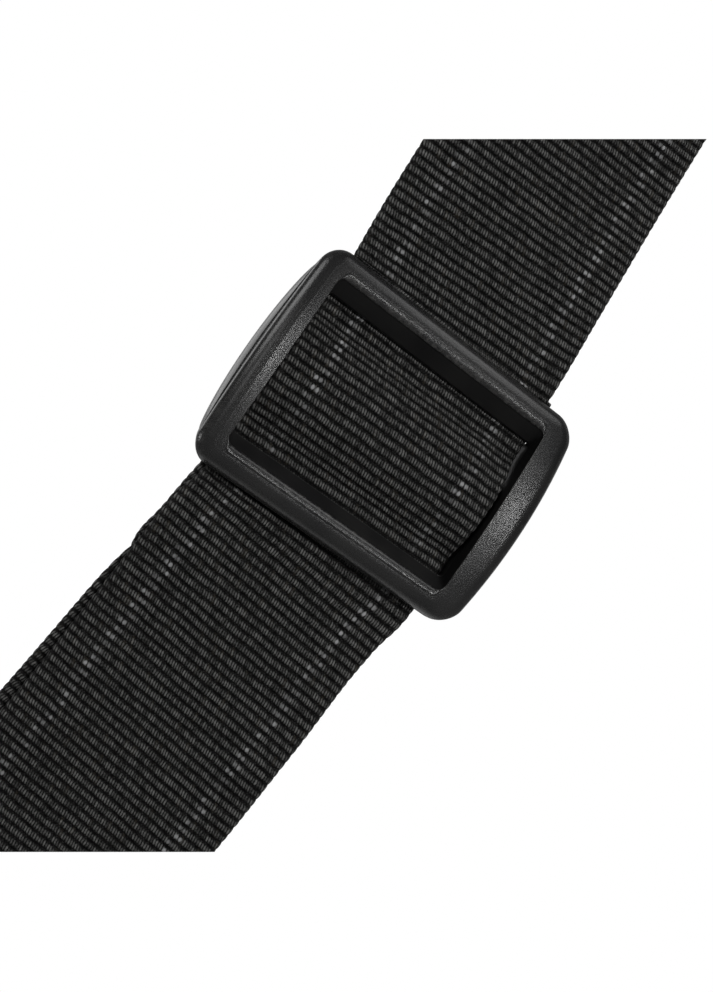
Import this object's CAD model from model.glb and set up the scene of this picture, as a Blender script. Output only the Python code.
"""Guitar strap: ribbed webbing, slide adjuster, wire ring and two leather button tabs.

Lengths are millimetres in the row frame (origin at the rear button hole, Z up, the
strap's front faces -Y); they become metres when a mesh is made. The strap rises from
the rear tab, turns over the shoulder and hangs down at the front through the slider.
"""
import math

import bmesh
import bpy
import numpy as np
from mathutils import Matrix, Vector
from mathutils.geometry import delaunay_2d_cdt


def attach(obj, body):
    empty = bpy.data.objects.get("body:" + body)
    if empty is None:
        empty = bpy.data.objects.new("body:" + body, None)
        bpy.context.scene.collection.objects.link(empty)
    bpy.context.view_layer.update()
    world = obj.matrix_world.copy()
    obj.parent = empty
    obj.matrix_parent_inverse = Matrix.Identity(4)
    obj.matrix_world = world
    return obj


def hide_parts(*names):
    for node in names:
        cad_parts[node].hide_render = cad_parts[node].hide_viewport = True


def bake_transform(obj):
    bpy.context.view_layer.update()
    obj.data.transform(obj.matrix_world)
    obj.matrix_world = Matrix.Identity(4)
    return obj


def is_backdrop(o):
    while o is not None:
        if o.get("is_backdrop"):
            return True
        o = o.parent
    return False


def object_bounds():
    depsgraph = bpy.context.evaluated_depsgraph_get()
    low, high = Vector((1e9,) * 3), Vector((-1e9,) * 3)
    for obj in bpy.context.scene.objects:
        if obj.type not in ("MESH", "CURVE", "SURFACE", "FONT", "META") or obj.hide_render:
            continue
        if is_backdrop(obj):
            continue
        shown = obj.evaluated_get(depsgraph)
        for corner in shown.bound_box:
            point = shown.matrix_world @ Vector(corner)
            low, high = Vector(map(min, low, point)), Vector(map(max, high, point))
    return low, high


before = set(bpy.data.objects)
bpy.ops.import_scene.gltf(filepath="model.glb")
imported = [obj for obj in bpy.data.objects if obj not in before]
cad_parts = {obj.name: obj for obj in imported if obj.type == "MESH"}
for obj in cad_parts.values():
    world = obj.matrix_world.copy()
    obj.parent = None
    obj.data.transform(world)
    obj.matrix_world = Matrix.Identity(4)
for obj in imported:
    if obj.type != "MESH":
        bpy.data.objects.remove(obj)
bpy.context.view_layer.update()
MM = 0.001

# ------------------------------------------------------------------ driving sizes
HALF = 25.35                    # webbing: half width
THICK = 2.0                     # webbing: thickness over the ribs
PITCH = 1.855                   # webbing: from rib to rib
YARN = 0.58                     # webbing: width of a yarn on a rib
LAYER_GAP = 2.05                # between the two layers below the slider
SHOULDER_R = 82.0               # the arc over the shoulder
RUN_Y = -2 * SHOULDER_R         # the upper run hangs here
RUN_LOW, RUN_HIGH = 276.0, 446.0
WEB_END_Z = 50.0                # the webbing's end inside the rear tab
DOWN = 122.0                    # length of the front run below the slider
LEATHER_THICK = 2.2
GLUE = 0.08                     # gap between glued layers
STITCH_IN = 4.0                 # stitch line's distance from the leather's edge


class Place:
    """A placement: local x, y, z to the row frame and back."""

    def __init__(self, origin, axes):
        self.origin = np.array(origin, float)
        self.axes = np.array(axes, float)

    def out(self, p):
        return np.asarray(p, float) @ self.axes + self.origin

    def turn(self, direction):
        return np.asarray(direction, float) @ self.axes

    def inside(self, p):
        return (np.asarray(p, float) - self.origin) @ self.axes.T


ROW_AXES = ((1, 0, 0), (0, 1, 0), (0, 0, 1))
FRONT_AXES = ((0.98272253, 0.10500009, -0.15241851),
              (-0.08878895, 0.99000872, 0.10954116),
              (0.16239749, -0.09411549, 0.98222672))
SLIDER_AXES = ((0.99364413, 0.09567705, -0.05930637),
               (-0.09927088, 0.99319257, -0.06094108),
               (0.05307199, 0.06644115, 0.99637791))
AT_ROW = Place((0, 0, 0), ROW_AXES)
AT_UPPER = Place((0, RUN_Y, 0), ROW_AXES)
AT_SLIDER = Place((-0.82395472, -171.28934817, 250.43544442), SLIDER_AXES)
AT_FRONT = Place((-2.7597433, -167.45493959, 224.18834871), FRONT_AXES)
AT_RING = Place((-27.21037508, -152.32285776, 76.96662025), FRONT_AXES)
AT_TAB = Place((-30.13352985, -150.62877901, 59.28653927), FRONT_AXES)


# ------------------------------------------------------------------ curves
def rise(value, start=0.0, length=1.0):
    """Goes smoothly from 0 to 1 over a length."""
    t = np.clip((value - start) / length, 0.0, 1.0)
    return t * t * (3.0 - 2.0 * t)


def fall(value, start, length):
    return 1 - rise(value, start, length)


def bell(value, middle, width):
    return np.exp(-((value - middle) / width) ** 2)


def unit(v):
    v = np.asarray(v, float)
    return v / np.linalg.norm(v, axis=-1, keepdims=True)


def rounded(points, step=0.35, closed=False):
    """A polyline through 2-D points (a, b[, radius]) with its corners rounded."""
    corners = [np.array(p[:2], float) for p in points]
    radii = [p[2] if len(p) > 2 else 0.0 for p in points]
    count, out = len(corners), []
    for i in range(count):
        if not closed and i in (0, count - 1):
            out.append(corners[i])
            continue
        corner = corners[i]
        back = unit(corners[i - 1] - corner)
        ahead = unit(corners[(i + 1) % count] - corner)
        angle = math.acos(float(np.clip(back @ ahead, -1, 1)))
        if radii[i] <= 0 or abs(math.pi - angle) < 1e-3:
            out.append(corner)
            continue
        reach = radii[i] / math.tan(angle / 2)
        middle = corner + unit(back + ahead) * radii[i] / math.sin(angle / 2)
        start, end = corner + back * reach - middle, corner + ahead * reach - middle
        start_angle = math.atan2(start[1], start[0])
        end_angle = math.atan2(end[1], end[0])
        turn = (end_angle - start_angle + math.pi) % (2 * math.pi) - math.pi
        steps = max(3, int(math.ceil(abs(turn) * radii[i] / step)))
        for j in range(steps + 1):
            t = start_angle + turn * j / steps
            out.append(middle + radii[i] * np.array([math.cos(t), math.sin(t)]))
    return np.array(out)


def lengths(p):
    return np.r_[0.0, np.cumsum(np.linalg.norm(np.diff(p, axis=0), axis=1))]


def sample(at, stations, values):
    """Linear interpolation of every column of values."""
    return np.stack([np.interp(at, stations, column) for column in values.T], 1)


def resample(p, step):
    s = lengths(p)
    return sample(np.linspace(0, s[-1], max(2, int(round(s[-1] / step)) + 1)), s, p)


def soften(a, sigma_rows):
    """Gaussian smoothing along rows, with the ends held."""
    reach = int(math.ceil(sigma_rows * 3))
    weights = np.exp(-0.5 * (np.arange(-reach, reach + 1) / sigma_rows) ** 2)
    weights /= weights.sum()
    before = 2 * a[:1] - a[1:reach + 1][::-1]
    after = 2 * a[-1:] - a[-reach - 1:-1][::-1]
    padded = np.concatenate([before, a, after])
    return np.stack([np.convolve(column, weights, "valid") for column in padded.T], 1)


def closed_loop(outline, step):
    """An outline resampled as an anticlockwise loop, without a repeated end."""
    p = resample(np.concatenate([outline, outline[:1]]), step)[:-1]
    area = np.sum(p[:, 0] * np.roll(p[:, 1], -1) - np.roll(p[:, 0], -1) * p[:, 1])
    return p if area > 0 else p[::-1]


def offset_loop(p, distance):
    """Moves an anticlockwise loop inwards by a distance."""
    t = unit(np.roll(p, -1, 0) - np.roll(p, 1, 0))
    return p + np.c_[-t[:, 1], t[:, 0]] * distance


# ------------------------------------------------------------------ meshes
def shade_smooth(obj):
    obj.data.polygons.foreach_set("use_smooth", [True] * len(obj.data.polygons))


def face_outward(obj):
    bm = bmesh.new()
    bm.from_mesh(obj.data)
    bmesh.ops.recalc_face_normals(bm, faces=bm.faces)
    bm.to_mesh(obj.data)
    bm.free()


def new_object(name, verts_mm, faces, material, attributes=None, smooth=True):
    mesh = bpy.data.meshes.new(name)
    mesh.from_pydata((np.asarray(verts_mm, float) * MM).tolist(), [], faces)
    mesh.update()
    for key, values in (attributes or {}).items():
        values = np.asarray(values, np.float32)
        kind, field = ("FLOAT", "value") if values.ndim == 1 else ("FLOAT_VECTOR", "vector")
        attribute = mesh.attributes.new(key, kind, "POINT")
        attribute.data.foreach_set(field, values.ravel())
    obj = bpy.data.objects.new(name, mesh)
    if smooth:
        shade_smooth(obj)
    mesh.validate()
    bpy.context.scene.collection.objects.link(obj)
    mesh.materials.append(material)
    return obj


def grid_faces(rows, cols, wrap_rows=False):
    """Quads of a grid whose columns close into a tube."""
    i = np.arange(rows if wrap_rows else rows - 1)[:, None]
    j = np.arange(cols)[None, :]
    i2, j2 = (i + 1) % rows, (j + 1) % cols
    corners = (i * cols + j, i * cols + j2, i2 * cols + j2, i2 * cols + j)
    return np.stack(np.broadcast_arrays(*corners), -1).reshape(-1, 4).tolist()


def capped_faces(rows, cols):
    """A tube closed by a polygon at each end."""
    last = (rows - 1) * cols
    return grid_faces(rows, cols) + [tuple(range(cols))[::-1], tuple(range(last, last + cols))]


def join_parts(parts):
    """Joins (verts, faces, attributes) parts into one set."""
    verts, faces, attributes, base = [], [], {}, 0
    for part_verts, part_faces, part_attributes in parts:
        verts.append(np.asarray(part_verts, float))
        faces += [tuple(int(k) + base for k in face) for face in part_faces]
        for key, values in part_attributes.items():
            attributes.setdefault(key, []).append(np.asarray(values, float))
        base += len(part_verts)
    return np.concatenate(verts), faces, {k: np.concatenate(v) for k, v in attributes.items()}


def assign(obj, piece, body):
    """Tells the frame what the object replaces, rides on and is made of."""
    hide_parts(piece)
    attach(obj, body)


# ------------------------------------------------------------------ shader building
def arithmetic(operation):
    """An operator and its mirrored form, for one kind of Math node."""
    return (lambda a, b: a.shader.math(operation, a, b),
            lambda b, a: b.shader.math(operation, a, b))


class Value:
    """A node's output. Ordinary arithmetic on it adds Math nodes."""

    def __init__(self, shader, socket):
        self.shader, self.socket = shader, socket

    __add__, __radd__ = arithmetic("ADD")
    __sub__, __rsub__ = arithmetic("SUBTRACT")
    __mul__, __rmul__ = arithmetic("MULTIPLY")
    __truediv__, _ = arithmetic("DIVIDE")
    __pow__, _ = arithmetic("POWER")
    __mod__, _ = arithmetic("MODULO")

    def __abs__(self):
        return self.shader.math("ABSOLUTE", self)


PRINCIPLED_INPUTS = dict(
    color="Base Color", rough="Roughness", metal="Metallic", spec="Specular IOR Level",
    normal="Normal", sheen="Sheen Weight", sheen_rough="Sheen Roughness",
    coat="Coat Weight", coat_rough="Coat Roughness")


class Shader:
    """Builds the node tree of a material or a world."""

    def __init__(self, owner, output="OutputMaterial"):
        self.owner = owner
        owner.use_nodes = True
        self.tree = owner.node_tree
        self.tree.nodes.clear()
        self.output = self.tree.nodes.new("ShaderNode" + output)

    def put(self, socket, value):
        if isinstance(value, Value):
            self.tree.links.new(value.socket, socket)
        else:
            socket.default_value = value

    def node(self, kind, inputs=None, output=0, **settings):
        made = self.tree.nodes.new("ShaderNode" + kind)
        for key, value in settings.items():
            setattr(made, key, value)
        for key, value in (inputs or {}).items():
            self.put(made.inputs[key], value)
        return Value(self, made.outputs[output])

    def finish(self, surface):
        self.put(self.output.inputs[0], surface)
        return self.owner

    def principled(self, **values):
        inputs = {PRINCIPLED_INPUTS[key]: value for key, value in values.items()}
        return self.node("BsdfPrincipled", inputs)

    def math(self, operation, *operands, clamp=False):
        return self.node("Math", dict(enumerate(operands)), operation=operation, use_clamp=clamp)

    def attribute(self, name, output="Fac"):
        return self.node("Attribute", output=output, attribute_name=name)

    def position_mm(self):
        metres = self.node("NewGeometry", output="Position")
        return self.node("VectorMath", {0: metres, 1: (1000.0,) * 3}, operation="MULTIPLY")

    def split(self, vector):
        outputs = self.node("SeparateXYZ", {0: vector}).socket.node.outputs
        return [Value(self, socket) for socket in outputs]

    def vector(self, x, y, z):
        return self.node("CombineXYZ", {0: x, 1: y, 2: z})

    def noise(self, vector, scale=1.0, detail=2.0, rough=0.5):
        return self.node("TexNoise", {"Vector": vector, "Scale": scale, "Detail": detail,
                                      "Roughness": rough})

    def voronoi(self, vector, scale, feature, **inputs):
        return self.node("TexVoronoi", {"Vector": vector, "Scale": scale, **inputs},
                         output="Distance", feature=feature)

    def random(self, x, y, z):
        return self.node("TexWhiteNoise", {"Vector": self.vector(x, y, z)}, output="Value",
                         noise_dimensions="3D")

    def ramp(self, value, low, high, to_low=0.0, to_high=1.0):
        return self.node("MapRange", {"Value": value, "From Min": low, "From Max": high,
                                      "To Min": to_low, "To Max": to_high},
                         interpolation_type="SMOOTHSTEP")

    def mix(self, factor, a, b):
        return self.node("Mix", {0: factor, 6: a, 7: b}, output=2, data_type="RGBA")

    def bump(self, height, depth_mm, strength=1.0):
        return self.node("Bump", {"Strength": strength, "Distance": depth_mm * MM,
                                  "Height": height}, output="Normal")


# ------------------------------------------------------------------ materials
def webbing_material():
    """Ribbed webbing: rows of small yarn knuckles on each rib, dark floats between the
    ribs, and two lines of pale flecks. The attribute "web" holds the place across (mm),
    the place along (mm) and the closeness to an edge."""
    k = Shader(bpy.data.materials.new("webbing_black"))
    u, s, edge = k.split(k.attribute("web", "Vector"))
    wave = k.noise(k.vector(u * 0.16, s * 0.25, 3.0))
    ribs = s / PITCH
    rib, in_rib = k.math("FLOOR", ribs), k.math("FRACT", ribs)
    odd = rib % 2.0
    # yarns across: each row is offset by half a yarn, and leans within its rib
    wander = (wave - 0.5) * 1.2
    yarns = u / YARN + wander + (odd * 0.5 + 200.0)
    yarns = yarns + (in_rib - 0.5) * -0.8
    yarn, in_yarn = k.math("FLOOR", yarns), k.math("FRACT", yarns)
    random_high = k.random(yarn, rib, 1.0)
    random_tone = k.random(yarn, rib, 7.0)
    # knuckle on the rib, with a ragged outline
    crest = k.math("MAXIMUM", 1.0 - abs(in_rib - 0.5) * 2.0, 0.0)
    across = k.math("SINE", in_yarn * math.pi)
    fuzz = k.noise(k.vector(u * 2.1, s * 2.1, 9.0), detail=4.0, rough=0.7)
    on_rib = k.ramp(crest + (fuzz - 0.5) * 0.55, low=0.12, high=0.80)
    knuckle = across ** 0.9 * on_rib * (random_high * 0.35 + 0.65)
    # the threads that show between the ribs lie half a yarn aside
    floats = yarns + 0.5
    float_across = k.math("SINE", k.math("FRACT", floats) * math.pi)
    random_float = k.random(k.math("FLOOR", floats), rib, 3.0)
    valley = float_across ** 1.5 * k.ramp(crest, low=0.34, high=0.0)
    valley = valley * (random_float * random_float)
    # filament strands inside each yarn
    strand = k.noise(k.vector((u - s * 0.5) * 5.5, s * 2.2, 1.0), detail=4.0, rough=0.65)
    plain = 1.0 - k.ramp(edge, low=0.15, high=0.7)
    height = knuckle * plain + valley * 0.35
    height = height + strand * 0.55
    # short bars that turn round the selvedge
    bars = k.math("SINE", (s * 2.0 + u * 1.1) * (math.pi / PITCH))
    height = height + bars * 0.35 * edge
    # flecks: two columns near 17.4 mm on each side, 1.02 mm apart
    columns = (abs(u) - 17.4) / 1.02 + odd * 0.5
    column = k.math("FLOOR", columns + 0.5)
    off_column = abs(columns - column)
    random_fleck = k.random(column, rib, k.math("SIGN", u))
    in_line = k.ramp(abs(column - 0.5), low=0.9, high=0.7)
    spot = k.math("SQRT", (off_column * 2.05) ** 2.0 + ((1.0 - crest) * 1.55) ** 2.0)
    fleck = k.ramp(spot, low=1.0, high=0.40) * in_line
    weak = k.noise(k.vector(s * 0.05, k.math("SIGN", u), 5.0), detail=1.0)
    fleck = fleck * (0.10 + random_fleck ** 1.6 * 0.9)
    fleck = fleck * k.ramp(weak, low=0.30, high=0.62, to_low=0.35)
    # colour: the yarn's own tone, broken up by strands and fuzz
    tone = 0.08 + across ** 1.4 * (0.26 + random_tone * 0.46)
    tone = tone + (strand - 0.5) * 1.0
    tone = tone + (fuzz - 0.5) * 0.9
    tone = k.math("MAXIMUM", tone, 0.0) ** 1.4 * on_rib
    tone = k.math("ADD", tone + valley * 0.14, edge * 0.04, clamp=True)
    base = k.mix(tone, (0.0009, 0.0009, 0.0009, 1), (0.086, 0.0855, 0.0825, 1))
    brownish = k.ramp(random_high, low=0.93, high=1.0)
    base = k.mix(brownish * 0.10, base, (0.05, 0.042, 0.030, 1))
    return k.finish(k.principled(
        color=k.mix(fleck, base, (0.165, 0.165, 0.168, 1)),
        rough=k.ramp(tone, low=0.0, high=1.0, to_low=0.75, to_high=0.48),
        spec=k.ramp(tone, low=0.0, high=0.6, to_low=0.04, to_high=0.30),
        normal=k.bump(height, depth_mm=0.10), sheen=0.0, sheen_rough=0.4))


def plastic_material():
    """Moulded satin plastic with a fine grain. "polish" is high where the grain is
    weak and dull, "rub" where an edge is scuffed."""
    k = Shader(bpy.data.materials.new("slider_plastic_black"))
    position = k.position_mm()
    cells = k.voronoi(position, scale=3.4, feature="SMOOTH_F1", Smoothness=0.6)
    fine = k.noise(position, scale=5.0, detail=3.0, rough=0.6)
    broad = k.noise(position, scale=0.09)
    polish = k.attribute("polish")
    grain = (cells * 0.9 + fine * 0.6) * (1.0 - polish * 0.8)
    patches = k.ramp(k.noise(position, scale=0.8, detail=4.0, rough=0.7), low=0.45, high=0.7)
    scuff = k.attribute("rub") * patches
    color = k.mix(k.ramp(broad, low=0.35, high=0.65),
                  (0.0050, 0.0050, 0.0051, 1), (0.0076, 0.0075, 0.0074, 1))
    color = k.mix(scuff * 0.6, color, (0.045, 0.044, 0.042, 1))
    inner = k.math("MAXIMUM", polish - 0.35, 0.0)
    rough = k.ramp(fine, low=0.3, high=0.7, to_low=0.23, to_high=0.30) + scuff * 0.08
    return k.finish(k.principled(
        color=color, rough=rough + inner * 0.8, spec=0.5 * (1.0 - inner * 2.5),
        normal=k.bump(grain, depth_mm=0.0155)))


def thread_material():
    """Twisted thread; "twist" runs along and round each stitch."""
    k = Shader(bpy.data.materials.new("thread_charcoal"))
    position = k.position_mm()
    plies = k.math("SINE", k.attribute("twist") * (9.0 * math.pi))
    fuzz = k.noise(position, scale=8.0, detail=3.0, rough=0.6)
    color = k.mix(k.ramp(fuzz, low=0.3, high=0.7),
                  (0.018, 0.018, 0.019, 1), (0.050, 0.049, 0.048, 1))
    return k.finish(k.principled(
        color=color, rough=0.62, spec=0.3, sheen=0.15, sheen_rough=0.4,
        normal=k.bump(plies + fuzz * 0.8, depth_mm=0.05, strength=0.8)))


def wire_material():
    """Coated steel wire: satin, slightly uneven, with pale rubs where "rub" is high."""
    k = Shader(bpy.data.materials.new("coated_wire_black"))
    position = k.position_mm()
    peel = k.noise(position, scale=1.1)
    grit = k.noise(position, scale=7.0, detail=3.0, rough=0.6)
    patches = k.ramp(k.noise(position, scale=1.6, detail=4.0, rough=0.7), low=0.50, high=0.66)
    rub = k.attribute("rub") * patches
    coat = k.mix(k.ramp(peel, low=0.3, high=0.7),
                 (0.010, 0.010, 0.011, 1), (0.017, 0.017, 0.017, 1))
    return k.finish(k.principled(
        color=k.mix(rub, coat, (0.16, 0.155, 0.15, 1)), metal=rub * 0.8,
        rough=k.ramp(grit, low=0.3, high=0.7, to_low=0.28, to_high=0.38), spec=0.5,
        normal=k.bump(peel + grit * 0.15, depth_mm=0.06, strength=0.7),
        coat=0.25, coat_rough=0.2))


def leather_material(name, dark, light, cell, depth_mm, rough, fine_high, spec, sheen):
    """Grained leather: pebbles between fine creases, paler in patches and folds, darker
    on the cut. "edge" is 1 on the cut edge, "stress" in folds. cell is the size of a
    pebble; rough is that of the pebbles and of the creases."""
    k = Shader(bpy.data.materials.new(name))
    position = k.position_mm()
    warp = k.noise(position, scale=0.5)
    shift = k.vector(warp * 1.1, warp * -0.8, warp)
    shifted = k.node("VectorMath", {0: position, 1: shift}, operation="ADD")
    crease = k.voronoi(shifted, scale=1.0 / cell, feature="DISTANCE_TO_EDGE")
    small_crease = k.voronoi(shifted, scale=2.3 / cell, feature="DISTANCE_TO_EDGE")
    fine = k.noise(position, scale=6.0, detail=4.0, rough=0.65)
    pebble = k.ramp(crease, low=0.0, high=0.16)
    small_pebble = k.ramp(small_crease, low=0.0, high=0.14)
    edge, stress = k.attribute("edge"), k.attribute("stress")
    height = pebble * 0.75 + small_pebble * 0.30
    height = height + fine * fine_high
    # long wrinkles across the fold over the ring
    stretched = k.vector(k.split(position)[0] * 0.10, k.split(position)[2] * 0.8,
                         k.split(position)[1] * 0.8)
    wrinkle = k.ramp(k.noise(stretched, detail=3.0), low=0.40, high=0.60)
    height = height + wrinkle * stress * 1.6
    normal = k.bump(height * (1.0 - edge * 0.85), depth_mm=depth_mm, strength=0.9)
    patch = k.noise(position, scale=0.07, detail=3.0, rough=0.6)
    pale = k.ramp(patch, low=0.3, high=0.7) * 0.55 + pebble * 0.35
    pale = k.math("ADD", pale, stress * 0.25, clamp=True)
    cut_color = tuple(c * 0.55 for c in dark[:3]) + (1,)
    color = k.mix(edge * 0.8, k.mix(pale, dark, light), cut_color)
    pebble_rough, crease_rough = rough
    shine = k.ramp(pebble, low=0.0, high=1.0, to_low=crease_rough, to_high=pebble_rough)
    return k.finish(k.principled(
        color=color, rough=shine + patch * 0.08 - edge * 0.10, spec=spec, normal=normal,
        sheen=sheen, sheen_rough=0.5))


def floor_material():
    """A pale floor that fades into a white glow away from the strap."""
    k = Shader(bpy.data.materials.new("pale_floor"))
    x, y, _ = k.split(k.node("NewGeometry", output="Position"))
    paint = k.principled(color=(0.86, 0.86, 0.86, 1), rough=0.8, spec=0.2)
    camera_ray = k.node("LightPath", output="Is Camera Ray")
    glow = k.node("Emission", {0: (1, 1, 1, 1), 1: 0.20 + camera_ray * 0.80})
    distance = k.math("SQRT", x * x + y * y)
    fade = k.ramp(distance, low=0.07, high=0.33)
    return k.finish(k.node("MixShader", {0: fade, 1: paint, 2: glow}))


def card_material():
    k = Shader(bpy.data.materials.new("white_card"))
    return k.finish(k.node("Emission", {0: (1, 1, 1, 1), 1: 1.0}))


WEB, PLASTIC = webbing_material(), plastic_material()
THREAD, WIRE = thread_material(), wire_material()
LEATHER = leather_material(
    "leather_black_grain", dark=(0.0085, 0.0078, 0.0075, 1), light=(0.022, 0.020, 0.019, 1),
    cell=0.95, depth_mm=0.16, rough=(0.42, 0.60), fine_high=0.35, spec=0.35, sheen=0.02)
SUEDE = leather_material(
    "leather_backing_black", dark=(0.012, 0.011, 0.0105, 1), light=(0.030, 0.028, 0.026, 1),
    cell=1.3, depth_mm=0.10, rough=(0.72, 0.85), fine_high=1.1, spec=0.15, sheen=0.25)

# ------------------------------------------------------------------ the strap's line
# One continuous line from the rear tab, over the shoulder, through the slider, round
# the ring and back up to the slider's centre bar.
STEP = 0.25
ARC = [(-SHOULDER_R + SHOULDER_R * math.cos(t), 450 + SHOULDER_R * math.sin(t))
       for t in np.linspace(0, math.pi, 200)]
# a frame, then points (y, z[, corner radius]) in it
STRETCHES = [
    # over the shoulder
    (AT_ROW, [(0.0, WEB_END_Z)] + ARC + [(RUN_Y, RUN_HIGH)]),
    # upper run
    (AT_ROW, [(RUN_Y, RUN_HIGH), (RUN_Y, RUN_LOW)]),
    # through the slider
    (AT_SLIDER, [(5.6, 26), (5.6, 11.75, 4.4), (-3.58, 0, 16.9), (5.6, -11.75, 4.4),
                 (5.6, -26)]),
    # front run
    (AT_FRONT, [(0.0, 0.0), (0.0, -DOWN)]),
    # round the ring
    (AT_FRONT, [(0, -DOWN), (0, -136, 8), (-2.125, -147, 5), (-2.125, -153.12, 3.1),
                (4.175, -153.12, 3.1), (4.175, -147, 5), (LAYER_GAP, -136, 8),
                (LAYER_GAP, -DOWN)]),
    # back run
    (AT_FRONT, [(LAYER_GAP, -DOWN), (LAYER_GAP, -26.0)]),
    # sewn loop round the centre bar
    (AT_SLIDER, [(11.795, -50), (7.65, -26, 8), (7.65, -11, 4), (3.6, -4.6, 5),
                 (3.6, 5.6, 2.5), (8.7, 5.6, 2.5), (8.7, -4.0, 5), (9.75, -9.5, 5),
                 (9.75, -26, 8), (13.895, -50)]),
]
stretch_points, stretch_widths = [], []
for place, yz in STRETCHES:
    yz = resample(rounded(yz), STEP)
    p = place.out(np.c_[np.zeros(len(yz)), yz])
    # a point shared with the stretch before is kept once
    if stretch_points and np.linalg.norm(p[0] - stretch_points[-1][-1]) < STEP:
        p = p[1:]
    stretch_points.append(p)
    stretch_widths.append(np.repeat(place.axes[:1], len(p), 0))
joined = np.concatenate(stretch_points)
joined_s = lengths(joined)
(SHOULDER_END, UPPER_END, PASS_END, FRONT_END, TURN_END, BACK_END,
 LOOP_END) = joined_s[np.cumsum([len(p) for p in stretch_points]) - 1]

total = joined_s[-1]
even = np.linspace(0, total, int(total / STEP) + 1)
line = sample(even, joined_s, joined)
width_dir = sample(even, joined_s, np.concatenate(stretch_widths))


def near_joints(hold, fade):
    """1 near the joints between differently turned frames, 0 away from them."""
    joints = (UPPER_END, PASS_END, BACK_END)
    return np.max([fall(np.abs(even - joint), hold, fade) for joint in joints], axis=0)[:, None]


line = line + (soften(line, 4.0 / STEP) - line) * near_joints(hold=5.0, fade=8.0)
width_dir = unit(width_dir + (soften(width_dir, 7.0 / STEP) - width_dir)
                 * near_joints(hold=12.0, fade=12.0))

# The hanging strap turns a little about its own length below and above the slider.
TWIST_LOW = math.radians(-10.0)
TURN_UP, TWIST_UP = math.radians(5.5), math.radians(3.5)
below = -AT_FRONT.inside(line)[:, 2]        # distance below the top of the front run
above = line[:, 2] - RUN_LOW                # distance above the foot of the upper run
low_calm = fall(below, 70, DOWN - 70)
up_calm = fall(above, 96, 70)
in_low = even > PASS_END - 0.5
in_up = (even > SHOULDER_END - 30) & (even < UPPER_END + 0.5)
angle_low = np.where(in_low, TWIST_LOW * rise(below, 0, 60) * low_calm, 0.0)
angle_up = np.where(in_up & (above >= 0), (TURN_UP + TWIST_UP * rise(above, 0, 55)) * up_calm,
                    0.0)


def swing(place, points, widths, angle, axis_y):
    """Turns points and width directions about a line parallel to the frame's z."""
    q, w = place.inside(points), widths @ place.axes.T
    cos, sin = np.cos(angle), np.sin(angle)
    y = q[:, 1] - axis_y
    q = np.stack([q[:, 0] * cos - y * sin, q[:, 0] * sin + y * cos + axis_y, q[:, 2]], 1)
    w = np.stack([w[:, 0] * cos - w[:, 1] * sin, w[:, 0] * sin + w[:, 1] * cos, w[:, 2]], 1)
    return place.out(q), w @ place.axes


line, width_dir = swing(AT_FRONT, line, width_dir, angle_low, LAYER_GAP / 2)
line, width_dir = swing(AT_UPPER, line, width_dir, angle_up, 0.0)
tangent = unit(np.gradient(line, axis=0))
normal = unit(np.cross(tangent, width_dir))
width_dir = unit(np.cross(normal, tangent))

# Sideways shifts shear the webbing, so the ribs keep their direction. It lies slightly
# to one side in the slider.
SHIFT = -0.15
below_slider = np.where(even > BACK_END, 1.0, low_calm)
above_slider = np.where(even < UPPER_END, rise(even, UPPER_END - 100, 66), 1.0)
slide = SHIFT * np.where(even > PASS_END, below_slider, above_slider)
# the back layer lies a little to one side of the front one
in_back = (even > TURN_END) & (below > -14)
back_sway = 2.0 + 1.2 * bell(below, 17.5, 5.5) - 0.5 * rise(below, 14, 20)
slide = slide - np.where(in_back, back_sway * rise(below, -14, 24) * fall(below, 80, 40), 0.0)
# the front layer sways one way, then back
in_front = (even > PASS_END) & (even < FRONT_END)
slide = slide - np.where(in_front, 0.9 * rise(below, 0, 8) * fall(below, 13, 20), 0.0)
slide = slide + np.where(in_front, 1.3 * rise(below, 25, 40) * fall(below, 82, 38), 0.0)
slide = slide - np.where(in_up & (above > -10), 0.55 * rise(above, -10, 30) * up_calm, 0.0)
line = line + width_dir * slide[:, None]


def line_frame(s):
    """Point, width direction and normal at places along the line."""
    return (sample(s, even, line), unit(sample(s, even, width_dir)),
            unit(sample(s, even, normal)))


# ------------------------------------------------------------------ webbing
RIBS = int(total / PITCH) + 3
BOW_KNOTS = 18                      # points across at which a rib bows at random
SELVEDGE = 1.15                     # width of the rounded edge
EDGE_IN = np.array([0.0, 0.20, 0.45, 0.70, 0.90])       # columns, in from the very edge
RIB_PHASES = {8: [0.0, 0.07, 0.17, 0.33, 0.5, 0.67, 0.83, 0.93],
              6: [0.0, 0.10, 0.28, 0.5, 0.72, 0.90]}    # rows within a rib
rng = np.random.default_rng(11)
rib_high = 1 + 0.10 * (rng.random(RIBS) - 0.5)
rib_bow = np.cumsum(rng.normal(0, 0.05, (RIBS, BOW_KNOTS)), axis=0)
rib_bow -= np.stack([np.convolve(column, np.ones(25) / 25, "same") for column in rib_bow.T], 1)
rib_bow += rng.normal(0, 0.025, (RIBS, BOW_KNOTS))


def end_cap(u, n_front, base, flip):
    """Triangles that close one end, between its front and back edges."""
    n = len(u)
    a = list(range(n_front))
    b = [(n - j) % n for j in range(n - n_front + 2)]
    faces, i, j = [], 0, 0
    while i < len(a) - 1 or j < len(b) - 1:
        next_a = u[a[i + 1]] if i < len(a) - 1 else math.inf
        next_b = u[b[j + 1]] if j < len(b) - 1 else math.inf
        if next_a <= next_b:
            corners = (a[i], a[i + 1], b[j])
            i += 1
        else:
            corners = (a[i], b[j + 1], b[j])
            j += 1
        if len(set(corners)) == 3:
            faces.append(tuple(base + c for c in (corners[::-1] if flip else corners)))
    return faces


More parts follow.
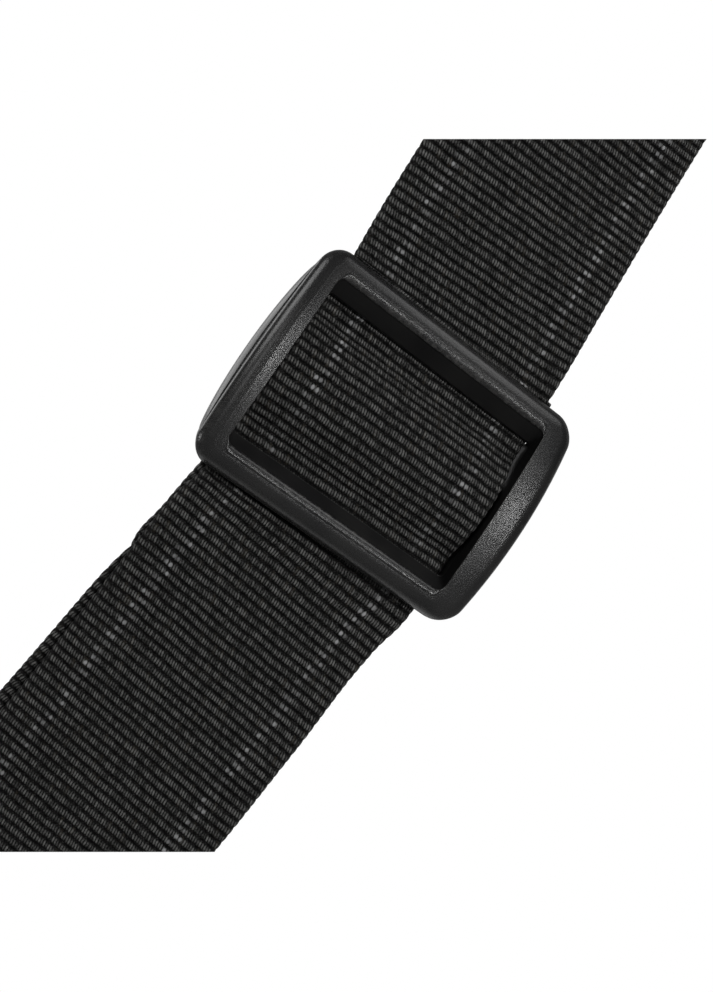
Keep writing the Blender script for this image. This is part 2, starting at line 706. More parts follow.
def webbing(name, s0, s1, per_rib, front, back):
    """The webbing from s0 to s1 along the line, as a closed ribbed solid. front and back
    count the columns on the normal's side and on the other side."""
    ribs = range(math.floor(s0 / PITCH), math.ceil(s1 / PITCH))
    rows = np.array([(rib + f) * PITCH for rib in ribs for f in RIB_PHASES[per_rib]])
    rows = np.r_[s0, rows[(rows > s0 + 0.05) & (rows < s1 - 0.05)], s1]
    inner = HALF - SELVEDGE
    edge = HALF - EDGE_IN
    u = np.r_[-edge, np.linspace(-inner, inner, front), edge[::-1],
              edge[1:], np.linspace(inner, -inner, back), -edge[::-1][:-1]]
    n_front = 2 * len(edge) + front
    side = np.r_[np.ones(n_front), -np.ones(len(u) - n_front)]
    S, U = np.meshgrid(rows, u, indexing="ij")
    from_middle = np.abs(U)

    rib = np.clip(np.floor(rows / PITCH + 1e-6).astype(int), 0, RIBS - 1)
    in_rib = np.clip(rows / PITCH - rib, 0, 1)
    crest = np.sin(np.pi * in_rib)[:, None] ** 0.85
    # ribs bow along the strap, but not at the ends
    knots = np.linspace(-HALF, HALF, BOW_KNOTS)
    bow = np.stack([np.interp(u, knots, rib_bow[i]) for i in rib])
    bow_next = np.stack([np.interp(u, knots, rib_bow[min(i + 1, RIBS - 1)]) for i in rib])
    w = rise(in_rib)[:, None]
    start_hold = np.sin(np.pi * np.clip((rows - s0) / 6, 0, 0.5))[:, None]
    end_hold = np.sin(np.pi * np.clip((s1 - rows) / 6, 0, 0.5))[:, None]
    along = np.clip(S + (bow * (1 - w) + bow_next * w) * start_hold * end_hold, s0, s1)

    # selvedge: a loop to every rib, so its edge is finely scalloped
    lobe = (0.75 * np.abs(np.sin(np.pi * rows / PITCH)) ** 0.8
            + 0.25 * np.abs(np.sin(np.pi * rows / (2 * PITCH))))[:, None]
    near_edge = np.clip((from_middle - inner) / SELVEDGE, 0, 1)
    across = np.sign(U) * (from_middle + 0.17 * (lobe - 0.40) * rise(from_middle, 22.8, 2.2))
    roundness = np.sqrt(np.clip(1 - near_edge ** 2.4, 0, 1))
    high = 0.40 * rib_high[rib][:, None]
    edge_zone = rise(from_middle, 22.9, 1.2)
    profile = crest * (1 - edge_zone) + (0.45 + 0.55 * lobe) * edge_zone
    out = side * ((THICK / 2 - high) + high * profile) * roundness
    out = np.where(near_edge >= 0.999, 0.0, out)

    P, W, N = line_frame(along.ravel())
    verts = P + W * across.ravel()[:, None] + N * out.ravel()[:, None]
    web = np.stack([U.ravel(), S.ravel(), near_edge.ravel()], 1)
    caps = (end_cap(u, n_front, 0, flip=False)
            + end_cap(u, n_front, (len(rows) - 1) * len(u), flip=True))
    obj = new_object(name, verts, grid_faces(len(rows), len(u)) + caps, WEB, {"web": web})
    face_outward(obj)
    shade_smooth(obj)
    for polygon in list(obj.data.polygons)[-len(caps):]:
        polygon.use_smooth = False
    return obj


# name, piece, body it rides on, start, end, rows per rib, front columns, back columns
WEBBING = (
    ("strap_over_shoulder", "webbing_over_shoulder", "rear", 0.0, SHOULDER_END, 6, 30, 30),
    ("strap_upper_run", "webbing_upper_run", None, SHOULDER_END, UPPER_END, 8, 48, 30),
    ("strap_through_slider", "webbing_slider_pass", "slider", UPPER_END, PASS_END, 8, 60, 30),
    ("strap_front_run", "webbing_front_run", None, PASS_END, FRONT_END, 8, 60, 30),
    ("strap_ring_turn", "webbing_ring_turn", "front", FRONT_END, TURN_END, 8, 40, 40),
    ("strap_back_run", "webbing_back_run", None, TURN_END, BACK_END, 8, 40, 30),
    ("strap_sewn_loop", "webbing_sewn_loop", "slider", BACK_END, LOOP_END - 0.3, 8, 48, 40),
)
strap = {}
for name, piece, body, start, end, per_rib, front, back in WEBBING:
    strap[name] = webbing(name, start, end, per_rib, front, back)
    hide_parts(piece)
    if body:
        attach(strap[name], body)


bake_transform(strap["strap_upper_run"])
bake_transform(strap["strap_front_run"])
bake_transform(strap["strap_back_run"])


# ------------------------------------------------------------------ slider
# Local x across, z up, the front face towards -y.
OUTER_W, OUTER_H = 31.5, 24.7           # half width and half height
WINDOW_W = 25.7                         # half width of the window
FACE_Y, FACE_R = 2.2, 140.0             # the front face arches back from -FACE_Y
SPLIT_Y = 2.2                           # the groove round the outer side
BACK_Y, SIDE_DEEPER = 4.5, 3.5          # back face, and how much deeper the sides are
BACK_R = 0.9                            # roundover at the back
SIDE_SWELL = 1.3                        # swelling of the sides behind the groove


def frame_outline(half_width, half_height, radius):
    """Stations round a rounded rectangle, anticlockwise from the lower end of its +x side."""
    x, z = half_width - radius, half_height - radius
    sides = (((half_width, -z), (half_width, z), 90), ((x, half_height), (-x, half_height), 110),
             ((-half_width, z), (-half_width, -z), 90),
             ((-x, -half_height), (x, -half_height), 110))
    centres = ((x, z), (-x, z), (-x, -z), (x, -z))
    points = []
    for turn, ((start, end, count), centre) in enumerate(zip(sides, centres)):
        t = np.arange(count)[:, None] / count
        points.append(np.array(start) + (np.array(end) - np.array(start)) * t)
        angle = np.radians(90 * turn + 90 * np.arange(22) / 22)
        points.append(np.array(centre) + radius * np.c_[np.cos(angle), np.sin(angle)])
    return np.concatenate(points)


def face_y(z):
    """The arched front face."""
    return -(FACE_Y - (FACE_R - np.sqrt(FACE_R ** 2 - z ** 2)))


def back_y(z, on_side=1.0):
    """The back face, deeper on the side members away from the corners."""
    return BACK_Y + SIDE_DEEPER * rise(22.4 - np.abs(z), 0, 3.4) * on_side


def slider_frame():
    """The frame: closed loops of points from the window's back edge, forwards through
    the window, over the front face, down the outer side and across the back."""
    mouth = frame_outline(WINDOW_W, 19.2, 1.5)          # window at the front
    throat = frame_outline(WINDOW_W, 16.5, 1.1)         # window at the back
    outer = frame_outline(OUTER_W, OUTER_H, 5.0)
    on_left = outer[:, 0] < 0
    bow = np.where(on_left, 0.7, 1.6) * (1 - (outer[:, 1] / OUTER_H) ** 2) - on_left * 1.0
    outer[:, 0] += (np.sign(outer[:, 0]) * bow
                    * np.clip(np.abs(outer[:, 0]) / OUTER_W, 0, 1) ** 6)
    d = np.roll(outer, -1, 0) - np.roll(outer, 1, 0)
    outward = unit(np.c_[d[:, 1], -d[:, 0]])
    to_outer = unit(outer - mouth)
    # from the throat straight into the material
    into = unit(np.where(np.abs(outward[:, :1]) > 0.7,
                         np.c_[np.sign(outward[:, 0]), 0 * outward[:, 0]], outward))
    loops, polishes, rubs = [], [], []

    def add(xz, y, polish=0.0, rub=0.0):
        y = np.broadcast_to(np.asarray(y, float), len(xz))
        loops.append(np.c_[xz[:, 0], y, xz[:, 1]])
        polishes.append(np.full(len(xz), polish))
        rubs.append(np.full(len(xz), rub))

    # back edge of the window, then its wall
    throat_y = back_y(throat[:, 1], rise(np.abs(throat[:, 0]), 25.0, 0.7))
    for inset, drop in ((0.9, 0.0), (0.35, 0.02), (0.12, 0.12), (0.0, 0.42)):
        add(throat + into * inset, throat_y - drop)
    for f in (0.75, 0.5, 0.25, 0.0):
        add(throat, 3.4 + (throat_y - 0.42 - 3.4) * f, polish=0.6)
    # the long bars have a soft inner edge, the side members a crisp one
    on_bar = rise(25.4 - np.abs(mouth[:, 0]), 0, 1.6)
    lip_r, lip_deep = 0.18 + 1.45 * on_bar, 0.16 + 0.52 * on_bar
    mouth_y = face_y(mouth[:, 1])
    for f in (0.0, 0.05, 0.15, 0.35, 0.6, 0.82, 0.93, 1.0):
        add(throat + (mouth - throat) * f, 3.15 + (mouth_y + lip_deep - 3.15) * f, polish=0.7)
    for t in (0.06, 0.16, 0.27, 0.38, 0.49, 0.60, 0.70, 0.80, 0.90, 1.0):
        a = t * math.pi / 2
        add(mouth + to_outer * (lip_r * (1 - math.cos(a)))[:, None],
            mouth_y + lip_deep * (1 - math.sin(a)), polish=0.2, rub=1.0 - 0.5 * t)
    # front face: slightly crowned, then a faint ridge on the left and a generous roundover
    on_side = rise(np.abs(outward[:, 0]), 0.3, 0.5)
    round_x, round_y = (2.3 + 0.7 * on_side)[:, None], 2.1
    ridge = 0.045 * on_side * on_left
    start, end = mouth + to_outer * (lip_r + 0.10)[:, None], outer - outward * round_x
    for f in np.linspace(0, 1, 15):
        p = start + (end - start) * f
        crown = 0.05 * np.sin(math.pi * f) + ridge * bell(f, 0.90, 0.09)
        add(p, face_y(p[:, 1]) - crown, rub=0.25 if f < 0.1 else 0.0)
    ridge_end = ridge * math.exp(-(0.10 / 0.09) ** 2)
    for degrees in (8, 18, 28, 38, 48, 58, 68, 78, 86):
        a = math.radians(degrees)
        p = end + outward * (round_x * math.sin(a))
        add(p, face_y(p[:, 1]) + round_y * (1 - math.cos(a)) - ridge_end * (1 - math.sin(a)),
            rub=0.35 if 30 < degrees < 70 else 0.0)
    # outer side down to the groove
    side_top = face_y(outer[:, 1]) + round_y
    for f in (0.35, 0.75):
        add(outer, side_top + (SPLIT_Y - side_top) * f)
    add(outer, SPLIT_Y - 0.26)
    for inset, y in ((0.07, -0.12), (0.26, -0.04), (0.30, 0.12)):
        add(outer - outward * inset, SPLIT_Y + y, polish=0.5)
    # behind the groove the side members swell outwards
    within = 1 - (np.clip(np.abs(outer[:, 1]), 0, 19.5) / 19.5) ** 2
    swell = SIDE_SWELL * (on_side * np.sqrt(np.clip(within, 0, 1)) ** 1.3)
    outer_back = back_y(outer[:, 1])
    skirt = SPLIT_Y + 0.14
    for f in (0.03, 0.06, 0.10, 0.16, 0.24, 0.34, 0.46, 0.60, 0.76, 0.90):
        bulge = (-0.28 * fall(f, 0.02, 0.09)
                 + swell * math.sin(min(f / 0.9, 1.0) * math.pi / 2) ** 0.9)
        add(outer + outward * bulge[:, None], skirt + (outer_back - BACK_R - skirt) * f,
            polish=0.2, rub=0.15)
    for a in np.radians([15, 35, 55, 75, 90]):
        add(outer + outward * (swell - BACK_R * (1 - math.cos(a)))[:, None],
            outer_back - BACK_R + BACK_R * math.sin(a), rub=0.3)
    # across the back to the window again
    back_in, back_out = throat + into * 0.9, outer + outward * (swell - BACK_R)[:, None]
    for f in (0.25, 0.5, 0.75):
        add(back_out + (back_in - back_out) * f, outer_back + (throat_y - outer_back) * f)
    verts = np.stack(loops, 1).reshape(-1, 3)
    return (verts, grid_faces(len(mouth), len(loops), wrap_rows=True),
            {"polish": np.stack(polishes, 1).ravel(), "rub": np.stack(rubs, 1).ravel()})


def slider_bar():
    """The centre bar that the sewn end closes round."""
    section = rounded([(4.75, -3.5, 1.1), (4.75, 3.5, 1.1), (7.55, 3.5, 1.1), (7.55, -3.5, 1.1)],
                      step=0.2, closed=True)
    stations = np.linspace(-26.3, 26.3, 40)
    verts = np.array([(x, y, z) for x in stations for y, z in section])
    even_wear = np.full(len(verts), 0.3)
    return (verts, capped_faces(len(stations), len(section)),
            {"polish": even_wear, "rub": even_wear})


verts, faces, attributes = join_parts([slider_frame(), slider_bar()])
slider = new_object("slider_adjuster", AT_SLIDER.out(verts), faces, PLASTIC, attributes)
face_outward(slider)
assign(slider, "slider_frame", "slider")

# ------------------------------------------------------------------ ring
RING_W, RING_H = 29.5, 18.0             # half width and full height of the wire's centre line
WIRE_R, WIRE_SIDES = 2.0, 28


def wire_ring():
    """A rounded rectangle of wire with a slight swelling halfway up its -x side."""
    path = rounded([(-RING_W, 0.0, 4.0), (RING_W, 0.0, 4.0), (RING_W, -RING_H, 4.0),
                    (-RING_W, -RING_H, 4.0)], step=0.4, closed=True)
    path = resample(np.concatenate([path, path[:1]]), 0.7)[:-1]
    centre = np.c_[path[:, 0], np.zeros(len(path)), path[:, 1]]
    weld = bell(path[:, 1], -RING_H / 2, 0.9) * (path[:, 0] < -20)
    radius = WIRE_R + 0.10 * weld
    along = unit(np.roll(centre, -1, 0) - np.roll(centre, 1, 0))
    in_plane = unit(np.cross(along, (0.0, 1.0, 0.0)))
    off_plane = np.cross(in_plane, along)
    angle = np.linspace(0, 2 * math.pi, WIRE_SIDES, endpoint=False)[None, :, None]
    circle = in_plane[:, None, :] * np.cos(angle) + off_plane[:, None, :] * np.sin(angle)
    verts = (centre[:, None, :] + circle * radius[:, None, None]).reshape(-1, 3)
    rub = np.repeat((np.abs(path[:, 0]) > 24) * 0.7, WIRE_SIDES)
    return new_object("rectangular_wire_ring", AT_RING.out(verts),
                      grid_faces(len(path), WIRE_SIDES, wrap_rows=True), WIRE, {"rub": rub})


assign(wire_ring(), "rectangular_ring", "ring")

# ------------------------------------------------------------------ leather tabs
# A sheet is cut flat to an outline (along, across) and bent along a line.
GRID = 1.35                             # spacing of the points inside a sheet
RIM_R, HOLE_R = 0.75, 0.28              # rounding of the outer edge and of the button hole
HOLE_FROM_TIP = 17.0
# across the thickness: inset as a part of the rounding, height as a part of half the thickness
EDGE_TOP = [(1.0, 1.0), (0.55, 0.965), (0.22, 0.83), (0.05, 0.55), (0.0, 0.2)]
EDGE_PROFILE = EDGE_TOP + [(inset, -high) for inset, high in EDGE_TOP[::-1]]


def is_inside(loop, q):
    """Which points q lie inside a closed loop."""
    x, y = q.T
    result = np.zeros(len(q), bool)
    for (x0, y0), (x1, y1) in zip(loop, np.roll(loop, -1, 0)):
        if y0 != y1:
            result ^= ((y0 > y) != (y1 > y)) & (x < (x1 - x0) * (y - y0) / (y1 - y0) + x0)
    return result


def distance_to(loop, q):
    nearest = np.full(len(q), 1e9)
    for start, step in zip(loop, np.roll(loop, -1, 0) - loop):
        t = np.clip(((q - start) @ step) / max(step @ step, 1e-12), 0, 1)
        nearest = np.minimum(nearest, np.linalg.norm(q - (start + t[:, None] * step), axis=1))
    return nearest


def triangulate(rim, hole, low, high):
    """Fills the plan between two loops. Gives points, triangles and each loop's numbers."""
    points, edges, numbers = [], [], []
    for loop in (rim, hole):
        base, count = len(points), len(loop)
        points += loop.tolist()
        edges += [(base + i, base + (i + 1) % count) for i in range(count)]
        numbers.append(range(base, base + count))
    columns = np.arange(low[0] + 0.6, high[0], GRID)
    rows = np.arange(low[1] + 0.6, high[1], GRID)
    grid = np.array([(x + (0.5 * GRID if j % 2 else 0.0), y)
                     for j, y in enumerate(rows) for x in columns])
    keep = is_inside(rim, grid) & (distance_to(rim, grid) > 0.55)
    keep &= ~is_inside(hole, grid) & (distance_to(hole, grid) > 0.45)
    points += grid[keep].tolist()
    result = delaunay_2d_cdt([Vector(p) for p in points], edges, [], 1, 1e-6)
    plan = np.array([tuple(p) for p in result[0]])
    triangles = np.array([t for t in result[2] if len(t) == 3])
    middles = plan[triangles].mean(1)
    triangles = triangles[is_inside(rim, middles) & ~is_inside(hole, middles)]
    source = {}
    for new, originals in enumerate(result[3]):
        for original in originals:
            source.setdefault(original, new)
    return plan, triangles, [np.array([source[i] for i in loop]) for loop in numbers]


def top_relief(from_rim, from_hole):
    """The outer face: drawn down along the stitches, raised round the hole."""
    high = 0.06 * rise(from_rim, 0, 2.5) - 0.20 * bell(from_rim, STITCH_IN, 0.8)
    high = high + 0.05 * bell(from_rim, STITCH_IN * 0.45, 1.0) + 0.10 * bell(from_hole, 0, 1.8)
    return high * 0.9


def leather_sheet(name, outline, hole, mapper, material, stress=np.zeros_like):
    half = LEATHER_THICK / 2
    rim, hole = closed_loop(outline, 0.7), closed_loop(hole, 0.35)
    # insets are positive inside the rim, negative outside the hole
    borders = ((rim, RIM_R), (hole, -HOLE_R))
    plan, triangles, numbers = triangulate(
        *[offset_loop(loop, inset) for loop, inset in borders], rim.min(0), rim.max(0))
    count = len(plan)
    relief = top_relief(distance_to(rim, plan), distance_to(hole, plan))
    verts = [np.c_[plan, half + relief], np.c_[plan, np.full(count, -half)]]
    edge = [np.zeros(2 * count)]
    faces = [tuple(t) for t in triangles] + [tuple(t[::-1] + count) for t in triangles]
    base = 2 * count
    for (loop, radius), top in zip(borders, numbers):
        n = len(loop)
        levels = [top]
        for inset, high in EDGE_PROFILE[1:-1]:
            verts.append(np.c_[offset_loop(loop, radius * inset), np.full(n, high * half)])
            edge.append(np.full(n, 1.0 if abs(high) < 0.9 else 0.6))
            levels.append(np.arange(base, base + n))
            base += n
        levels.append(top + count)
        for a, b in zip(levels, levels[1:]):
            faces += [(a[i], b[i], b[(i + 1) % n], a[(i + 1) % n]) for i in range(n)]
    verts = np.concatenate(verts)
    obj = new_object(name, mapper(*verts.T), [tuple(int(i) for i in face) for face in faces],
                     material, {"edge": np.concatenate(edge), "stress": stress(verts[:, 0])})
    face_outward(obj)
    shade_smooth(obj)
    return obj


def path_mapper(place, yz, facing):
    """A mapping of (along, across, out) onto a line of (y, z) in a frame, and the line's
    length. facing is the sign of y to which "out" points at the line's end."""
    fine = soften(resample(np.asarray(yz, float), 0.2), 2.0)
    s = lengths(fine)
    tangents = unit(np.gradient(fine, axis=0))
    normals = np.c_[-tangents[:, 1], tangents[:, 0]]
    if normals[-1, 0] * facing < 0:
        normals = -normals

    def mapper(along, across, out):
        beyond = np.clip(along - s[-1], 0, None) + np.clip(along, None, 0)
        point = sample(along, s, fine) + sample(along, s, tangents) * beyond[:, None]
        return place.out(np.c_[across, point + sample(along, s, normals) * out[:, None]])
    return mapper, s[-1]


def tab_outline(half_width, shoulder, tip, corner):
    """A strap end that narrows from its shoulder to a rounded tip."""
    return rounded([(0.0, -half_width, corner), (0.0, half_width, corner),
                    (shoulder, half_width, 30.0), (tip, 18.0, 15.0), (tip, -18.0, 15.0),
                    (shoulder, -half_width, 30.0)], step=0.5, closed=True)


def keyhole(tip, radius=3.5, slit=12.0, half=0.6):
    """Outline of the button hole and the slit that runs from it away from the tip."""
    middle = tip - HOLE_FROM_TIP
    start = math.asin(half / radius)
    circle = [(middle - radius * math.cos(a), radius * math.sin(a))
              for a in np.linspace(start, 2 * math.pi - start, 60)]
    slit_end = middle - (radius + slit - half)
    end = [(slit_end - half * math.sin(b), -half * math.cos(b))
           for b in np.linspace(0, math.pi, 9)]
    return np.array(circle + end)


# front tab: the outer leather goes up behind, over the ring's lower bar and down the front
TAB_HALF, TAB_SHOULDER_Z, TAB_TIP_Z = 25.0, -52.0, -100.0
BACKING_TOP = -42.3
wrap_line = rounded([(1.18, -42), (1.18, -10.5, 6), (3.25, -2.6, 4), (3.25, 3.22, 3.2),
                     (-3.25, 3.22, 3.2), (-3.25, -2.6, 4), (-1.1, -10.5, 6),
                     (-1.1, TAB_TIP_Z)])
wrap_map, wrap_length = path_mapper(AT_TAB, wrap_line, facing=-1)


def wrap_at(z):
    """The place along the outer leather at a height on its front leg."""
    return wrap_length - (z - TAB_TIP_Z)


wrap_outline = tab_outline(TAB_HALF, wrap_at(TAB_SHOULDER_Z), wrap_length, corner=1.0)
fold_at = lengths(wrap_line)[np.argmax(wrap_line[:, 1])]
front_outer = leather_sheet("front_tab_leather", wrap_outline, keyhole(wrap_length), wrap_map,
                            LEATHER, stress=lambda along: bell(along, fold_at + 3, 9.0))
assign(front_outer, "front_tab_outer", "front_tab")

backing_y = 1.1 + GLUE
backing_map, _ = path_mapper(AT_TAB, [(backing_y, BACKING_TOP), (backing_y, TAB_TIP_Z)],
                             facing=1)
backing_length = BACKING_TOP - TAB_TIP_Z
backing_outline = tab_outline(TAB_HALF, BACKING_TOP - TAB_SHOULDER_Z, backing_length, corner=0.8)
front_backing = leather_sheet("front_tab_backing_leather", backing_outline,
                              keyhole(backing_length), backing_map, SUEDE)
assign(front_backing, "front_tab_backing", "front_tab")

# rear tab: two plies hold the webbing between them and come together below it
REAR_HALF, REAR_TOP_Z, REAR_TIP_Z = 27.5, 88.0, -17.0
apart_y = THICK / 2 + LEATHER_THICK / 2 + GLUE
together_y = LEATHER_THICK / 2 + GLUE / 2
rear_plies = []
# name, piece, material, slot, side of the webbing in y
for name, piece, material, slot, side in (
        ("rear_tab_leather", "rear_tab_outer", LEATHER, "leather", 1.0),
        ("rear_tab_backing_leather", "rear_tab_backing", SUEDE, "leather_backing", -1.0)):
    ply_line = rounded([(side * apart_y, REAR_TOP_Z), (side * apart_y, WEB_END_Z - 1.0, 8.0),
                        (side * together_y, WEB_END_Z - 8.0, 8.0),
                        (side * together_y, REAR_TIP_Z)])
    ply_map, ply_length = path_mapper(AT_ROW, ply_line, facing=side)
    ply_outline = tab_outline(REAR_HALF, 48.0, ply_length, corner=3.0)
    ply = leather_sheet(name, ply_outline, keyhole(ply_length), ply_map, material)
    assign(ply, piece, "rear")
    rear_plies.append((ply_map, ply_outline))

# ------------------------------------------------------------------ stitching
STITCH_WIDTH, STITCH_HIGH, STITCH_SINK = 0.9, 0.42, 0.10
STITCH_LENGTH, STITCH_PITCH = 3.2, 4.4
STITCH_ROWS, STITCH_SIDES = 13, 14
SKIN = LEATHER_THICK / 2 - 0.04         # stitches on the flat leather
SUNK = SKIN - 0.16                      # stitches in the drawn-down line


def stitch(points, outward):
    """One two-ply stitch along its centre points; its ends dive into the material."""
    t = np.linspace(-1, 1, STITCH_ROWS)
    across = unit(np.cross(unit(np.gradient(points, axis=0)), outward))
    full = np.maximum(np.sqrt(np.clip(1 - np.abs(t) ** 3.0, 0, 1)), 0.16)
    dive = -0.55 * np.abs(t) ** 5
    angle = np.linspace(0, 2 * math.pi, STITCH_SIDES, endpoint=False)
    verts = []
    for i in range(STITCH_ROWS):
        r = (1 + 0.13 * np.cos(2 * (angle - t[i] * 2.4 * math.pi))) * full[i]
        lift = STITCH_HIGH * 0.45 - STITCH_SINK + dive[i]
        verts.append(points[i] + outward[i] * lift
                     + across[i] * (np.cos(angle) * STITCH_WIDTH / 2 * r)[:, None]
                     + outward[i] * (np.sin(angle) * STITCH_HIGH * 0.62 * r)[:, None])
    twist = t[:, None] + angle / (2 * math.pi)
    return (np.concatenate(verts), capped_faces(STITCH_ROWS, STITCH_SIDES),
            {"twist": twist.ravel()})


def thread_object(name, rows, piece, body):
    """Stitches laid evenly along rows, each given as its points and outward directions."""
    parts = []
    for points, outward in rows:
        outward, s = unit(outward), lengths(points)
        gap = STITCH_PITCH - STITCH_LENGTH
        count = int((s[-1] + gap) // STITCH_PITCH)
        lead = (s[-1] - (count * STITCH_PITCH - gap)) / 2
        for i in range(count):
            middle = lead + i * STITCH_PITCH + STITCH_LENGTH / 2
            along = middle + np.linspace(-1, 1, STITCH_ROWS) * STITCH_LENGTH / 2
            parts.append(stitch(sample(along, s, points), unit(sample(along, s, outward))))
    verts, faces, attributes = join_parts(parts)
    obj = new_object(name, verts, faces, THREAD, attributes)
    face_outward(obj)
    shade_smooth(obj)
    assign(obj, piece, body)


def sheet_row(mapper, points, out):
    """A stitch row on a sheet, through (along, across) points."""
    along, across = resample(np.asarray(points, float), 0.4).T
    low = mapper(along, across, np.full(len(along), out))
    high = mapper(along, across, np.full(len(along), out + 0.5))
    return low, high - low


def edge_run(outline, start):
    """The stitch line inside an outline, from start on one side round the tip to the other."""
    q = offset_loop(closed_loop(outline, 0.5), STITCH_IN)
    keep = q[:, 0] > start
    first = next((i for i in range(len(q)) if keep[i] and not keep[i - 1]), 0)
    q, keep = np.roll(q, -first, 0), np.roll(keep, -first)
    return q if keep.all() else q[:np.argmin(keep)]


rows = []
REAR_ROW = REAR_HALF - STITCH_IN
for mapper, outline in rear_plies:
    rows += [sheet_row(mapper, edge_run(outline, 46.0), SUNK),
             sheet_row(mapper, [(34.5, -REAR_ROW), (4.0, -REAR_ROW)], SUNK),
             sheet_row(mapper, [(4.0, -21.5), (4.0, 21.5)], SUNK),
             sheet_row(mapper, [(4.0, REAR_ROW), (34.5, REAR_ROW)], SUNK),
             sheet_row(mapper, [(35.0, -21.5), (35.0, 21.5)], SKIN)]
thread_object("rear_tab_thread", rows, "rear_tab_stitching", "rear")

RUN_START_Z = -45.5
rows = [sheet_row(wrap_map, edge_run(wrap_outline, wrap_at(RUN_START_Z)), SUNK),
        sheet_row(backing_map, edge_run(backing_outline, BACKING_TOP - RUN_START_Z), SUNK)]
# a box on the front leg and one on the rear flap, the start of the same sheet:
# first end of the side rows, their other end, the closing row
FRONT_ROW = TAB_HALF - STITCH_IN
for start, end, closing in ((wrap_at(-40.0), wrap_at(-15.0), wrap_at(-39.5)),
                            (2.0, 27.0, 2.5)):
    rows += [sheet_row(wrap_map, [(start, -FRONT_ROW), (end, -FRONT_ROW)], SUNK),
             sheet_row(wrap_map, [(end, -19.0), (end, 19.0)], SKIN),
             sheet_row(wrap_map, [(end, FRONT_ROW), (start, FRONT_ROW)], SUNK),
             sheet_row(wrap_map, [(closing, -19.0), (closing, 19.0)], SKIN)]
thread_object("front_tab_thread", rows, "front_tab_stitching", "front_tab")

# crossed box on the rear face of the sewn tail
tail_from, tail_to = LOOP_END - 19.5, LOOP_END - 4.5
tail_normal = line_frame(np.array([tail_from + 5]))[2][0]
face = 1.0 if tail_normal @ AT_SLIDER.axes[1] > 0 else -1.0
rows = []
for points in ([(tail_from, -19), (tail_from, 19)], [(tail_to, -19), (tail_to, 19)],
               [(tail_from + 1, -19), (tail_to - 1, -19)],
               [(tail_from + 1, 19), (tail_to - 1, 19)],
               [(tail_from + 1.8, -16), (tail_to - 1.8, 16)],
               [(tail_from + 1.8, 16), (tail_to - 1.8, -16)]):
    p = resample(np.asarray(points, float), 0.4)
    P, W, N = line_frame(p[:, 0])
    rows.append((P + W * p[:, 1:2] + N * (face * 0.93), N * face))
thread_object("loop_box_thread", rows, "loop_box_stitching", "slider")


# ------------------------------------------------------------------ world and floor
def studio_world():
    """White to the camera; as light, dim and stronger towards +Y, behind the strap."""
    world = bpy.data.worlds.new("studio")
    bpy.context.scene.world = world
    k = Shader(world, "OutputWorld")
    behind = k.split(k.node("TexCoord", output="Generated"))[1]
    strength = (k.ramp(behind, low=-0.25, high=0.55, to_low=0.05, to_high=0.22)
                + k.ramp(behind, low=0.90, high=0.985, to_low=0.0, to_high=0.45))
    lit = k.node("Background", {0: (1, 1, 1, 1), 1: strength})
    seen = k.node("Background", {0: (1, 1, 1, 1), 1: 1.0})
    camera_ray = k.node("LightPath", output="Is Camera Ray")
    k.finish(k.node("MixShader", {0: camera_ray, 1: lit, 2: seen}))


def studio_floor():
    """A disc of three rings just below the lowest point."""
    low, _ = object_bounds()
    z = low.z * 1000 - 1.5
    n = 96
    verts = [(0, 0, z)] + [(r * math.cos(t), r * math.sin(t), z) for r in (600, 3000, 14000)
                           for t in np.linspace(0, 2 * math.pi, n, endpoint=False)]
    faces = [(0, 1 + i, 1 + (i + 1) % n) for i in range(n)]
    for base in (1, 1 + n):
        faces += [(base + i, base + n + i, base + n + (i + 1) % n, base + (i + 1) % n)
                  for i in range(n)]
    new_object("studio_floor", verts, faces, floor_material(), smooth=False)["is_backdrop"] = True


studio_world()
studio_floor()

# ------------------------------------------------------------------ camera
# placed and aimed in the slider's frame
camera_at = AT_SLIDER.out((-38.69, -183.68, -33.86))
view_axis = unit(AT_SLIDER.turn((0.2094, 0.9718, 0.1087)))
view_right = unit(np.cross(view_axis, unit(AT_SLIDER.turn((-0.5679, 0.0304, 0.8225)))))
view_up = np.cross(view_right, view_axis)
camera_data = bpy.data.cameras.new("camera")
camera_data.sensor_fit, camera_data.sensor_width = "AUTO", 36.0
camera_data.lens = 35.55
camera_data.clip_start, camera_data.clip_end = 0.005, 60.0
camera = bpy.data.objects.new("camera", camera_data)
bpy.context.scene.collection.objects.link(camera)
bpy.context.scene.camera = camera
camera_matrix = np.eye(4)
camera_matrix[:3] = np.stack([view_right, view_up, -view_axis, camera_at * MM], 1)
camera.matrix_world = Matrix(camera_matrix.tolist())


# ------------------------------------------------------------------ lights
def in_view(right, up, nearer):
    """An offset along the view's right, up and towards the viewer."""
    return view_right * right + view_up * up - view_axis * nearer


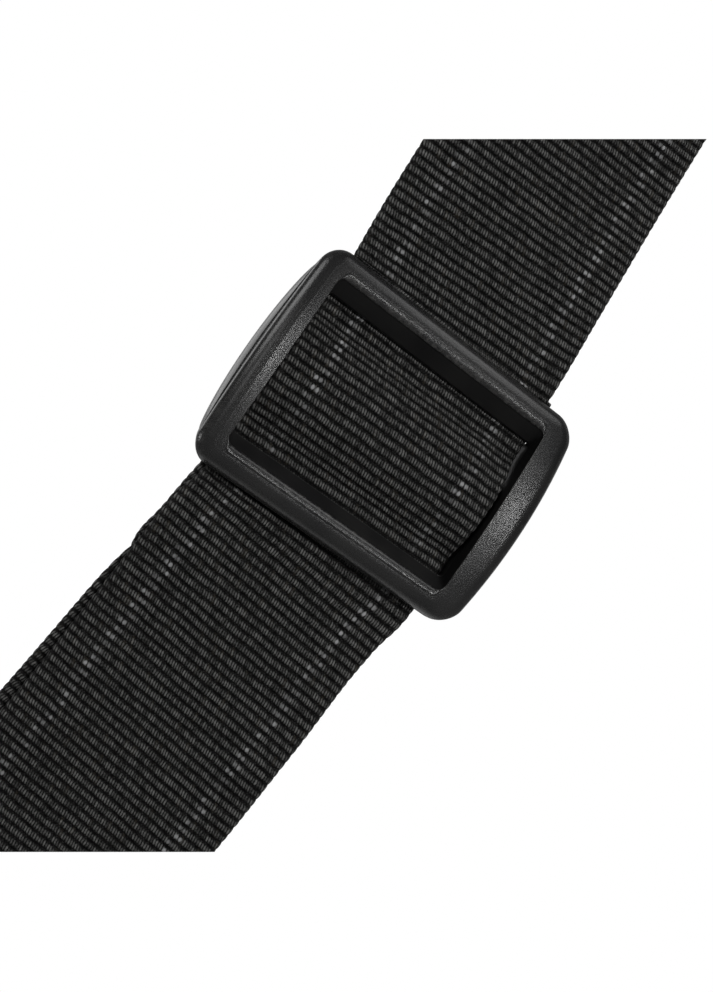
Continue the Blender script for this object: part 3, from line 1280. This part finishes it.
def soft_light(name, offset, size, watts, hidden):
    """An area light at an offset from the slider, aimed at it and hidden from one
    kind of ray."""
    data = bpy.data.lights.new(name, "AREA")
    data.shape, data.size, data.size_y = "RECTANGLE", size[0] * MM, size[1] * MM
    data.energy = watts
    light = bpy.data.objects.new(name, data)
    bpy.context.scene.collection.objects.link(light)
    centre = AT_SLIDER.out((0, 0, 0))
    position = centre + offset
    light.location = Vector(position * MM)
    light.rotation_mode = "QUATERNION"
    light.rotation_quaternion = Vector(centre - position).to_track_quat("-Z", "Y")
    data.cycles.cast_shadow = True
    if hidden:
        setattr(light, "visible_" + hidden, False)


# The key sits where the middle of the slider's arched sides mirrors it to the camera.
KEY_AT = AT_SLIDER.turn((147.0, -700.0, 129.5))
# name, offset from the slider, width and height, watts, kind of ray it is hidden from
LIGHTS = (
    ("key", KEY_AT, (230, 130), 8.0, "glossy"),
    ("key_glint", KEY_AT, (340, 45), 2.5, "diffuse"),
    ("top_fill", in_view(-350, 700, 500), (420, 420), 2.5, None),
    ("side", in_view(-700, -60, 60), (260, 500), 3.0, None),
    ("rear_left", in_view(-400, 500, -900), (700, 700), 9.0, "glossy"),
    ("rear_right", in_view(600, -100, -900), (700, 700), 9.0, "glossy"),
    ("glow_left", AT_SLIDER.turn((-500, 550, 125)), (400, 320), 0.62, "diffuse"),
    ("glow_right", AT_SLIDER.turn((560, 540, 110)), (320, 320), 0.26, "diffuse"),
    ("strip_left", AT_SLIDER.turn((-350, -600, 75)), (130, 260), 0.30, "diffuse"),
    ("strip_low", AT_SLIDER.turn((147, -512, -454)), (260, 340), 1.5, "diffuse"),
    ("strip_high", AT_SLIDER.turn((147, -398, 556)), (260, 260), 0.55, "diffuse"),
)
for name, offset, size, watts, hidden in LIGHTS:
    soft_light(name, offset, size, watts, hidden)


def picture_cards():
    """White cards above and below the view, 20 mm before the camera, seen by it only."""
    verts = []
    for low, high in ((7.28869, 13.06656), (-13.06656, -7.26827)):
        verts += [(x, y, -20.0) for x, y in ((-12, low), (12, low), (12, high), (-12, high))]
    cards = new_object("picture_cards", verts, [(0, 1, 2, 3), (4, 5, 6, 7)], card_material(),
                       smooth=False)
    cards.parent = camera
    cards.matrix_parent_inverse = Matrix.Identity(4)
    for ray in ("diffuse", "glossy", "transmission", "volume_scatter", "shadow"):
        setattr(cards, "visible_" + ray, False)
    cards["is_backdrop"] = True


picture_cards()

view = bpy.context.scene.view_settings
view.view_transform = "Standard"
view.look = "None"
view.exposure = 0.0
view.gamma = 1.0
